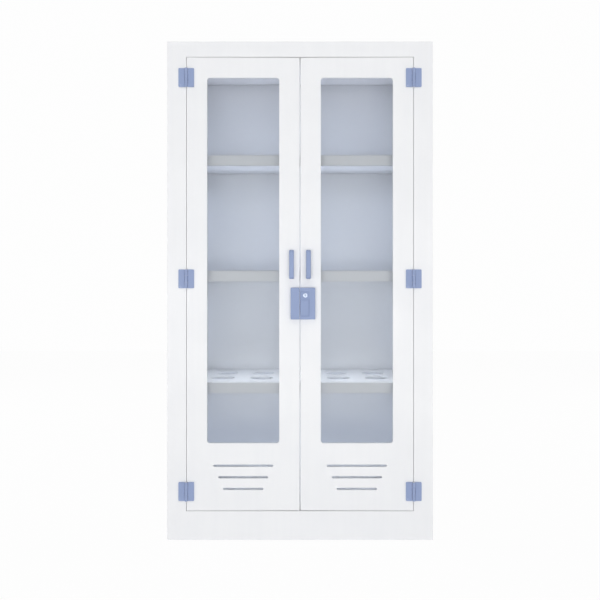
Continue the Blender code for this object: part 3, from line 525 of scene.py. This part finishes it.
def make_carcass_sheet(node):
    """An outer sheet of the carcass, with its edges eased."""
    bm = bmesh.new()
    add_block(bm, *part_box(node))
    ease(bm, SHEET_EDGE)
    add_piece(f"{node}_sheet", bm, "white_sheet", "cabinet", node)


def make_door_front(side):
    """A door's front sheet, cut for its window and its three vent slots."""
    low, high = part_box(f"door_{side}_front")
    pane_low, pane_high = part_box(f"door_{side}_pane")
    holes = [(pane_low.x + PANE_LAP, pane_low.z + PANE_LAP, pane_high.x - PANE_LAP, pane_high.z - PANE_LAP)]
    for level in ("high", "middle", "low"):
        vent_low, vent_high = openings[f"{side}_vent_{level}"]
        holes.append((vent_low[0] - VENT_END, vent_low[2] - VENT_SIDE,
                      vent_high[0] + VENT_END, vent_high[2] + VENT_SIDE))
    bm = bmesh.new()
    middle = Vector(((low.x + high.x) / 2, low.y, (low.z + high.z) / 2))
    add_sheet(bm, Matrix.Translation(middle) @ UPRIGHT, high.x - low.x, high.z - low.z)
    bmesh.ops.inset_individual(bm, faces=bm.faces[:], thickness=DOOR_BORDER, use_even_offset=True)
    for upper, lower in zip(holes, holes[1:]):
        cut_across(bm, (0, 0, (upper[1] + lower[3]) / 2), (0, 0, 1))
    for left, bottom, right, top in holes:
        centre = Vector(((left + right) / 2, low.y, (bottom + top) / 2))
        radius = min(WINDOW_RADIUS, (top - bottom) / 2)
        rim = add_rim(bm, Matrix.Translation(centre) @ UPRIGHT, right - left, top - bottom, radius)
        pierce(bm, face_at(bm, centre), rim)
    thicken(bm, (0, high.y - low.y, 0))
    inner = low.x if side == "right" else high.x
    meets = edges_where(bm, lambda co: abs(co.x - inner) < ON_PLANE and co.y < low.y + ON_PLANE)
    ease(bm, MEETING_EDGE, segments=4, edges=meets)
    ease(bm, DOOR_EDGE)
    add_piece(f"door_{side}_sheet", bm, "white_sheet", f"{side}_door", f"door_{side}_front")


def make_shelf(level):
    """A shelf with its front bent down; the lowest one is cut with a row of holes in front of another."""
    low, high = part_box(f"shelf_{level}")
    bm = bmesh.new()
    middle = Vector(((low.x + high.x) / 2, (low.y + high.y) / 2, high.z))
    add_sheet(bm, Matrix.Translation(middle), high.x - low.x, high.y - low.y)
    cut_across(bm, (0, low.y + SHEET, 0), (0, 1, 0))
    if level == "bottom":
        boxes = [box for name, box in openings.items() if name.startswith("flask_hole")]
        centres = [Vector(((a[0] + b[0]) / 2, (a[1] + b[1]) / 2, high.z)) for a, b in boxes]
        columns = sorted({round(centre.x, 5) for centre in centres})
        rows = sorted({round(centre.y, 5) for centre in centres})
        for first, second in zip(columns, columns[1:]):
            cut_across(bm, ((first + second) / 2, 0, 0), (1, 0, 0))
        for first, second in zip(rows, rows[1:]):
            cut_across(bm, (0, (first + second) / 2, 0), (0, 1, 0))
        for centre in centres:
            across = 2 * HOLE_RADIUS
            rim = add_rim(bm, Matrix.Translation(centre), across, across, HOLE_RADIUS, HOLE_STEPS)
            pierce(bm, face_at(bm, centre), rim)
    thicken(bm, (0, 0, -SHEET))
    lip = [face for face in bm.faces
           if face.normal.z < -FACES_ALONG and face.calc_center_median().y < low.y + SHEET]
    push(bm, lip, (0, 0, low.z - high.z + SHEET))
    bend = edges_where(bm, lambda co: abs(co.y - low.y) < ON_PLANE and abs(co.z - high.z) < ON_PLANE)
    ease(bm, SHELF_BEND, segments=5, edges=bend)
    ease(bm, SHEET_EDGE)
    add_piece(f"shelf_{level}_sheet", bm, "white_sheet", "cabinet", f"shelf_{level}")


# Fittings

def make_hinge_leaf(side, level, part):
    """A hinge leaf: a plate whose knuckles are rolled round the pin from its edge."""
    node = f"hinge_{side}_{level}_{part}_leaf"
    low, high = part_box(node)
    pin = Vector(joints[f"{side}_door_swing"]["pos_m"])
    way = SIDES[side] if part == "frame" else -SIDES[side]
    reach = max(abs(low.x - pin.x), abs(high.x - pin.x))
    height = high.z - low.z
    door_knuckle = height / 6 - KNUCKLE_GAP / 2
    start = KNUCKLE_RADIUS + LEAF_CLEAR
    bm = bmesh.new()
    add_block(bm, Vector((start, KNUCKLE_RADIUS - LEAF_THICK, -height / 2)),
              Vector((reach, KNUCKLE_RADIUS, height / 2)))
    outer = edges_where(bm, lambda co: abs(co.x - reach) < ON_PLANE)
    outer = [edge for edge in outer if abs(edge.verts[0].co.y - edge.verts[1].co.y) > ON_PLANE]
    ease(bm, LEAF_CORNER, segments=5, edges=outer)
    if part == "frame":
        levels = (-height / 6 - KNUCKLE_GAP / 2, height / 6 + KNUCKLE_GAP / 2)
        middles = (-height / 3, height / 3)
    else:
        levels = (-door_knuckle, door_knuckle)
        middles = (0,)
    for z in levels:
        cut_across(bm, (0, 0, z), (0, 0, 1))
    for z in middles:
        edge_face = face_at(bm, Vector((start, KNUCKLE_RADIUS - LEAF_THICK / 2, z)))
        neck = push(bm, [edge_face], (-start, 0, 0))
        for vert in neck[0].verts:
            if vert.co.y < KNUCKLE_RADIUS - ON_PLANE:
                vert.co.y = KNUCKLE_BORE
        rolled = neck + list(neck[0].edges) + list(neck[0].verts)
        bmesh.ops.spin(bm, geom=rolled, cent=(0, 0, 0), axis=(0, 0, 1), angle=KNUCKLE_CURL,
                       steps=KNUCKLE_STEPS, use_merge=False)
    bmesh.ops.recalc_face_normals(bm, faces=bm.faces)
    ease(bm, FITTING_EDGE)
    place = Matrix.Translation((pin.x, pin.y, (low.z + high.z) / 2)) @ Matrix.Diagonal((way, 1, 1, 1))
    bmesh.ops.transform(bm, matrix=place, verts=bm.verts)
    body = "cabinet" if part == "frame" else f"{side}_door"
    add_piece(f"hinge_{side}_{level}_{part}_plate", bm, "blue_moulding", body, node)


def bend_bar(bm, face, centre):
    """Carries the end of a handle's bar round a quarter turn and returns where it ends."""
    swept = [face] + list(face.edges) + list(face.verts)
    turned = bmesh.ops.spin(bm, geom=swept, cent=centre, axis=(-1, 0, 0), angle=math.radians(90),
                            steps=BEND_STEPS, use_merge=False)
    return faces_of(turned["geom_last"])[0]


def make_handle(side):
    """A pull handle: one rounded bar, bent back to the door at both ends."""
    low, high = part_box(f"handle_{side}")
    middle = (low.x + high.x) / 2
    foot = Vector((middle, high.y, low.z + HANDLE_BAR / 2))
    bm = bmesh.new()
    rim = add_rim(bm, Matrix.Translation(foot) @ UPRIGHT, high.x - low.x, HANDLE_BAR, HANDLE_SIDE)
    face = bmesh.ops.edgeloop_fill(bm, edges=rim)["faces"][0]
    post = high.y - low.y - HANDLE_BEND
    raised = bmesh.ops.extrude_face_region(bm, geom=[face])["geom"]
    bmesh.ops.translate(bm, vec=(0, -post, 0), verts=verts_of(raised))
    face = faces_of(raised)[0]
    face = bend_bar(bm, face, (middle, low.y + HANDLE_BEND, low.z + HANDLE_BEND))
    face = push(bm, [face], (0, 0, high.z - low.z - 2 * HANDLE_BEND))[0]
    face = bend_bar(bm, face, (middle, low.y + HANDLE_BEND, high.z - HANDLE_BEND))
    push(bm, [face], (0, post, 0))
    add_piece(f"handle_{side}_bar", bm, "blue_moulding", f"{side}_door", f"handle_{side}")


def hollow(bm, low, high, start, depth):
    """Hollows a block from behind, leaving its walls."""
    middle = Vector(((low.x + high.x) / 2, start, (low.z + high.z) / 2))
    rim = add_rim(bm, Matrix.Translation(middle) @ FACING_BACK, high.x - low.x, high.z - low.z, LOCK_EDGE)
    pierce(bm, face_at(bm, middle), rim)
    sink(bm, rim, (0, -depth, 0))


def open_mouth(bm, outside, inside, width, height):
    """The mouth that the bolt slides through, from a wall's outside to its inside."""
    turn = Matrix.Rotation(math.radians(90), 4, "Y")
    rims = []
    for point in (outside, inside):
        rim = add_rim(bm, Matrix.Translation(point) @ turn, height, width, BOLT_ROOM)
        pierce(bm, face_at(bm, point), rim)
        rims += rim
    bmesh.ops.bridge_loops(bm, edges=rims)


def start_lock_half(low, high, meeting):
    """A hollow half of the lock, rounded in front, less so where the halves meet, with the bolt's mouth."""
    bm = bmesh.new()
    add_block(bm, low, high)
    fore = [edge for edge in bm.edges if min(vert.co.y for vert in edge.verts) < high.y - ON_PLANE]
    meets = [edge for edge in fore if all(abs(vert.co.x - meeting) < ON_PLANE for vert in edge.verts)]
    ease(bm, LOCK_EDGE, segments=4, edges=[edge for edge in fore if edge not in meets])
    meets = edges_where(bm, lambda co: abs(co.x - meeting) < ON_PLANE and co.y < high.y - ON_PLANE)
    ease(bm, LOCK_MEETING_EDGE, edges=meets)
    hollow(bm, low + Vector((LOCK_WALL, 0, LOCK_WALL)), high - Vector((LOCK_WALL, 0, LOCK_WALL)),
           high.y, high.y - low.y - LOCK_WALL)
    bolt_low, bolt_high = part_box("lock_bolt")
    level = (bolt_low.z + bolt_high.z) / 2
    depth = (bolt_low.y + bolt_high.y) / 2
    inside = meeting + LOCK_WALL if meeting == low.x else meeting - LOCK_WALL
    open_mouth(bm, Vector((meeting, depth, level)), Vector((inside, depth, level)),
               bolt_high.y - bolt_low.y + 2 * BOLT_ROOM, bolt_high.z - bolt_low.z + 2 * BOLT_ROOM)
    return bm


def make_lock_case():
    """The lock's body: a hollow moulding with a shallow pocket for the key and the plate."""
    low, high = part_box("lock_case")
    key = Vector(joints["key_turn"]["pos_m"])
    bm = start_lock_half(low, high, low.x)
    pocket_low = Vector((low.x + POCKET_SIDE, low.y, low.z + POCKET_LOW))
    far_edge = KEY_FLANGE_RADIUS + POCKET_MARGIN
    pocket_high = Vector((key.x + far_edge, low.y, key.z + far_edge))
    centre = (pocket_low + pocket_high) / 2
    rim = add_rim(bm, Matrix.Translation(centre) @ UPRIGHT, pocket_high.x - pocket_low.x,
                  pocket_high.z - pocket_low.z, POCKET_RADIUS)
    pierce(bm, face_at(bm, centre), rim)
    sink(bm, rim, (0, POCKET_DEPTH, 0))
    ease(bm, POCKET_EDGE, segments=3, edges=rim)
    add_piece("lock_case_moulding", bm, "blue_moulding", "right_door", "lock_case")


def make_lock_plate():
    """The raised plate on the lock's front, with one corner swept round."""
    low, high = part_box("lock_face_plate")
    low.z += PLATE_GROOVE
    high += Vector((-PLATE_GROOVE, 0, -PLATE_GROOVE))
    high.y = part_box("lock_case")[0].y + POCKET_DEPTH
    bm = bmesh.new()
    add_block(bm, low, high)
    corners = [edge for edge in bm.edges if abs(edge.verts[0].co.y - edge.verts[1].co.y) > ON_PLANE]
    swept = [edge for edge in corners
             if edge.verts[0].co.x > high.x - ON_PLANE and edge.verts[0].co.z < low.z + ON_PLANE]
    others = [edge for edge in corners if edge not in swept]
    ease(bm, PLATE_CORNER, segments=8, edges=swept)
    ease(bm, LOCK_EDGE, segments=4, edges=[edge for edge in others if edge.is_valid])
    ease(bm, FITTING_EDGE)
    add_piece("lock_plate", bm, "blue_moulding", "right_door", "lock_face_plate")


def make_lock_keeper():
    """The lock's other half, hollow, with a mouth that takes the bolt."""
    low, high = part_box("lock_keeper")
    bm = start_lock_half(low, high, high.x)
    add_piece("lock_keeper_moulding", bm, "blue_moulding", "left_door", "lock_keeper")


def turn_profile(bm, profile, steps):
    """Turns a profile of radii and heights into a closed shape, and returns the face at its last end."""
    before = set(bm.verts)
    points = [bm.verts.new((radius, 0, height)) for radius, height in profile]
    lines = [bm.edges.new(pair) for pair in zip(points, points[1:])]
    bmesh.ops.spin(bm, geom=points + lines, cent=(0, 0, 0), axis=(0, 0, 1), angle=math.tau, steps=steps,
                   use_merge=True)
    turned = [vert for vert in bm.verts if vert not in before]
    ends = []
    for radius, height in (profile[0], profile[-1]):
        ring = [vert for vert in turned
                if abs(vert.co.z - height) < ON_PLANE and abs(vert.co.xy.length - radius) < ON_PLANE]
        edges = [edge for edge in edges_at(ring) if all(vert in ring for vert in edge.verts)]
        ends += bmesh.ops.edgeloop_fill(bm, edges=edges)["faces"]
    return ends[1]


def add_screw(bm, place, radius, head, shank, bite):
    """A button-head screw with a hex socket. Its head stands on the place's own floor."""
    before = set(bm.verts)
    profile = [(shank, -bite), (shank, 0), (radius, 0)]
    profile += [(out * radius, up * head) for out, up in SCREW_DOME]
    top = turn_profile(bm, profile, SCREW_STEPS)
    socket = bmesh.ops.create_circle(bm, radius=SOCKET_RADIUS * radius, segments=6,
                                     matrix=Matrix.Translation((0, 0, head)))["verts"]
    rim = edges_at(socket)
    bm.normal_update()
    pierce(bm, top, rim)
    sink(bm, rim, (0, 0, -SOCKET_DEPTH * head))
    made = [vert for vert in bm.verts if vert not in before]
    bmesh.ops.transform(bm, matrix=place, verts=made)


def make_handle_screws(side):
    """The screws that hold a handle from behind its door."""
    for end in ("low", "high"):
        node = f"handle_{side}_screw_{end}"
        low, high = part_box(node)
        foot = Vector(((low.x + high.x) / 2, high.y - HANDLE_SCREW_HEAD, (low.z + high.z) / 2))
        bm = bmesh.new()
        add_screw(bm, Matrix.Translation(foot) @ FACING_BACK, HANDLE_SCREW_RADIUS, HANDLE_SCREW_HEAD,
                  HANDLE_SCREW_SHANK, foot.y - low.y)
        add_piece(f"handle_{side}_bolt_{end}", bm, "screw_steel", f"{side}_door", node)


def add_small_screws(bm, points):
    for point in points:
        add_screw(bm, Matrix.Translation(point) @ FACING_BACK, SMALL_SCREW_RADIUS, SMALL_SCREW_HEAD,
                  SMALL_SCREW_SHANK, SMALL_SCREW_BITE)


def leaf_screw_points(side, level, part, depth):
    """Where the two screws of a hinge leaf come through the sheet behind it."""
    low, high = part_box(f"hinge_{side}_{level}_{part}_leaf")
    outer = high.x if (part == "frame") == (side == "right") else low.x
    inwards = -1 if outer == high.x else 1
    middle = (low.z + high.z) / 2
    return [Vector((outer + inwards * LEAF_SCREW_IN, depth, middle + rise))
            for rise in (-LEAF_SCREW_RISE, LEAF_SCREW_RISE)]


def make_door_screws(side):
    """The small screws seen behind a door: its hinge leaves', its half of the lock's and its retainer's."""
    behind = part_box(f"door_{side}_front")[1].y
    points = []
    for level in LEVELS:
        points += leaf_screw_points(side, level, "door", behind)
    lock_low, lock_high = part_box("lock_case" if side == "right" else "lock_keeper")
    for z in (lock_low.z + LOCK_SCREW_IN, lock_high.z - LOCK_SCREW_IN):
        points.append(Vector((LOCK_SCREW_X[side], behind, z)))
    low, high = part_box(f"door_{side}_pane_retainer")
    left, right = low.x + RETAINER_SCREW_IN, high.x - RETAINER_SCREW_IN
    bottom, top = low.z + RETAINER_SCREW_IN, high.z - RETAINER_SCREW_IN
    rows = round((top - bottom) / RETAINER_SCREW_PITCH)
    for row in range(rows + 1):
        z = bottom + (top - bottom) * row / rows
        points += [Vector((left, high.y, z)), Vector((right, high.y, z))]
    points += [Vector(((left + right) / 2, high.y, z)) for z in (bottom, top)]
    bm = bmesh.new()
    add_small_screws(bm, points)
    add_piece(f"{side}_door_screws", bm, "screw_steel", f"{side}_door")


def make_frame_screws():
    """The screws of the hinges' frame leaves, seen behind the face frame."""
    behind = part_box("front_rail_bottom")[1].y
    bm = bmesh.new()
    for side in SIDES:
        for level in LEVELS:
            add_small_screws(bm, leaf_screw_points(side, level, "frame", behind))
    add_piece("frame_hinge_screws", bm, "screw_steel", "cabinet")


def make_key_cylinder():
    """The lock's cylinder: a bright flange round a sunk plug, with a barrel and a cam behind."""
    low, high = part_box("lock_cylinder")
    key = Vector(joints["key_turn"]["pos_m"])
    cam_radius = (high.x - low.x) / 2
    cam_back = CAM_FRONT + CAM_THICK
    profile = [(cam_radius, -cam_back), (cam_radius, -CAM_FRONT), (KEY_BARREL_RADIUS, -CAM_FRONT),
               (KEY_BARREL_RADIUS, -KEY_FLANGE), (KEY_FLANGE_RADIUS, -KEY_FLANGE),
               (KEY_FLANGE_RADIUS, -KEY_RIM), (KEY_FLANGE_RADIUS - KEY_RIM_SHOULDER, -KEY_RIM_SHOULDER),
               (KEY_FLANGE_RADIUS - KEY_RIM, 0), (KEY_PLUG_RADIUS + KEY_RIM, 0),
               (KEY_PLUG_RADIUS, -KEY_RIM)]
    bm = bmesh.new()
    plug = turn_profile(bm, profile, ROUND_STEPS)
    rim = add_rim(bm, Matrix.Translation((0, 0, -KEY_RIM)), KEYHOLE_WIDTH, KEYHOLE_LENGTH, KEYHOLE_CORNER)
    bm.normal_update()
    pierce(bm, plug, rim)
    sink(bm, rim, (0, 0, -KEYHOLE_DEPTH))
    for face in bm.faces:
        centre = face.calc_center_median()
        if centre.xy.length < KEY_PLUG_RADIUS and centre.z > -CAM_FRONT:
            face.material_index = 1
    bmesh.ops.transform(bm, matrix=Matrix.Translation((key.x, low.y, key.z)) @ UPRIGHT, verts=bm.verts)
    behind = [vert.co for vert in nodes["lock_cylinder"].data.vertices if vert.co.y > high.y - ON_PLANE]
    pin = sum(behind, Vector()) / len(behind)
    length = high.y - low.y - cam_back
    place = Matrix.Translation(pin - Vector((0, length / 2, 0))) @ UPRIGHT
    add_rod(bm, place, CAM_PIN_RADIUS, length, SCREW_STEPS)
    add_piece("key_cylinder_turned", bm, "plated_lock", "key_cylinder", "lock_cylinder",
              second_finish="key_plug")


def add_bead(bm, start, end, away):
    """A weld bead along an inside corner: the quarter of a round bar that shows between two walls."""
    before = set(bm.verts)
    run = end - start
    place = Matrix.Translation((start + end) / 2) @ run.to_track_quat("Z", "Y").to_matrix().to_4x4()
    add_rod(bm, place, BEAD, run.length, BEAD_STEPS)
    for normal in away:
        made = [vert for vert in bm.verts if vert not in before]
        faces = list(dict.fromkeys(face for vert in made for face in vert.link_faces))
        cut = bmesh.ops.bisect_plane(bm, geom=made + edges_at(made) + faces, plane_co=start, plane_no=normal,
                                     clear_inner=True)
        bmesh.ops.edgeloop_fill(bm, edges=edges_of(cut["geom_cut"]))


def make_weld_beads():
    """The welds in the cabinet's inner corners, which stop at the shelves."""
    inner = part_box("side_panel_right")[0].x
    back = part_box("back_panel")[0].y
    floor_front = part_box("floor_panel")[0].y
    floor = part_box("floor_panel")[1].z
    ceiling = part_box("ceiling_panel")[0].z
    bm = bmesh.new()
    stops = [floor + BEAD]
    for level in reversed(LEVELS):
        shelf_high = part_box(f"shelf_{level}")[1].z
        stops += [shelf_high - SHEET - SHEET_EDGE, shelf_high + SHEET_EDGE]
    stops.append(ceiling)
    for side, way in SIDES.items():
        x = way * inner
        wall = Vector((-way, 0, 0))
        for start, end in zip(stops[::2], stops[1::2]):
            add_bead(bm, Vector((x, back, start)), Vector((x, back, end)), (wall, FORWARD))
        add_bead(bm, Vector((x, floor_front, floor)), Vector((x, back - BEAD, floor)), (wall, UP))
        for level in LEVELS:
            low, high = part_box(f"shelf_cleat_{side}_{level}")
            add_bead(bm, Vector((x, low.y, low.z)), Vector((x, high.y, low.z)), (wall, -UP))
    add_bead(bm, Vector((-inner, back, floor)), Vector((inner, back, floor)), (FORWARD, UP))
    add_piece("weld_beads", bm, "white_sheet", "cabinet")


# Camera, light and stage

def make_camera():
    camera = bpy.data.objects.new("camera", bpy.data.cameras.new("camera"))
    camera.location = EYE
    camera.rotation_euler = (math.radians(90), 0, 0)
    camera.data.lens = LENS
    camera.data.shift_y = FRAME_SHIFT
    bpy.context.scene.collection.objects.link(camera)
    bpy.context.scene.camera = camera


def seen_rays(tree):
    """1 for what the camera sees, straight or in glass and metal, and 0 for light that falls on things."""
    path = add_node(tree, "LightPath").outputs
    straight = math_of(tree, "MAXIMUM", path["Is Camera Ray"], path["Is Glossy Ray"])
    return math_of(tree, "MAXIMUM", straight, path["Is Transmission Ray"])


def make_world():
    world = bpy.data.worlds.new("studio")
    world.use_nodes = True
    tree = world.node_tree
    background = tree.nodes["Background"]
    background.inputs["Color"].default_value = (1, 1, 1, 1)
    strength = add_node(tree, "MapRange", {"Value": seen_rays(tree), "To Min": AMBIENT, "To Max": BACKDROP})
    tree.links.new(strength.outputs["Result"], background.inputs["Strength"])
    bpy.context.scene.world = world


def make_lamp(name, place, aim, size, power, colour=(1, 1, 1), spread=180):
    lamp = bpy.data.lights.new(name, "AREA")
    lamp.shape = "RECTANGLE"
    lamp.size, lamp.size_y = size
    lamp.energy = power
    lamp.color = colour
    lamp.spread = math.radians(spread)
    obj = bpy.data.objects.new(name, lamp)
    obj.visible_camera = False
    obj.location = place
    obj.rotation_euler = (Vector(aim) - Vector(place)).to_track_quat("-Z", "Y").to_euler()
    bpy.context.scene.collection.objects.link(obj)


def make_studio_lamps():
    for name, (place, aim, size, power) in STUDIO_LAMPS.items():
        make_lamp(name, place, aim, size, power)


def make_inside_lamps():
    """Soft strips behind the doors, for the light that a clear photograph of the inside needs."""
    for bay, (height, aim_height, power, spread) in BAY_STRIPS.items():
        place = (0, BAY_STRIP_DEPTH, height)
        aim = (0, BACK_WALL, aim_height)
        make_lamp(f"{bay}_bay_lamp", place, aim, BAY_STRIP, power, WALL_TINT, spread)
    for name, (place, aim, width, power, tint, spread) in LONG_STRIPS.items():
        make_lamp(f"{name}_lamp", (0, *place), (0, *aim), (LONG_STRIP, width), power, tint, spread)
    for bay, (height, power) in CORNER_STRIPS.items():
        for side, way in SIDES.items():
            place = (way * CORNER_STRIP_OUT, CORNER_STRIP_DEPTH, height)
            aim = (way * CORNER_STRIP_AIM_OUT, BACK_WALL, height)
            make_lamp(f"{bay}_{side}_corner_lamp", place, aim, CORNER_STRIP, power, WALL_TINT,
                      CORNER_STRIP_SPREAD)


def make_floor():
    mesh = bpy.data.meshes.new("floor")
    bm = bmesh.new()
    add_sheet(bm, Matrix.Translation((0, 0, -FLOOR_DROP)), FLOOR_SIZE, FLOOR_SIZE)
    bm.to_mesh(mesh)
    bm.free()
    tree, shader = start_material("pale_floor")
    shader.inputs["Base Color"].default_value = (0.9, 0.9, 0.9, 1)
    shader.inputs["Roughness"].default_value = 0.9
    glow = add_node(tree, "Emission", {"Color": (1, 1, 1, 1), "Strength": 1.0})
    mix_shaders(tree, math_of(tree, "MULTIPLY", seen_rays(tree), FLOOR_GLOW), shader, glow)
    mesh.materials.append(finishes["pale_floor"])
    floor = bpy.data.objects.new("floor", mesh)
    bpy.context.scene.collection.objects.link(floor)


def dress_cad_nodes():
    """Gives every CAD node its finish; those that are replaced are hidden anyway."""
    for name, node in nodes.items():
        finish = "white_sheet"
        if name.endswith("_pane"):
            finish = "clear_pane"
        elif name.endswith("_pin") or "_screw_" in name:
            finish = "screw_steel"
        elif name in ("lock_bolt", "lock_cylinder"):
            finish = "plated_lock"
        node.data.materials.clear()
        node.data.materials.append(finishes[finish])


make_finishes()
make_camera()
make_world()
make_studio_lamps()
make_inside_lamps()
make_floor()
dress_cad_nodes()
make_face_frame()
for panel in ("side_panel_left", "side_panel_right", "back_panel", "top_panel"):
    make_carcass_sheet(panel)
for side in SIDES:
    make_door_front(side)
    make_handle(side)
    for level in LEVELS:
        make_hinge_leaf(side, level, "frame")
        make_hinge_leaf(side, level, "door")
for level in LEVELS:
    make_shelf(level)
make_lock_case()
make_lock_plate()
make_lock_keeper()
make_key_cylinder()
for side in SIDES:
    make_handle_screws(side)
    make_door_screws(side)
make_frame_screws()
make_weld_beads()

bpy.context.scene.view_settings.view_transform = "Standard"
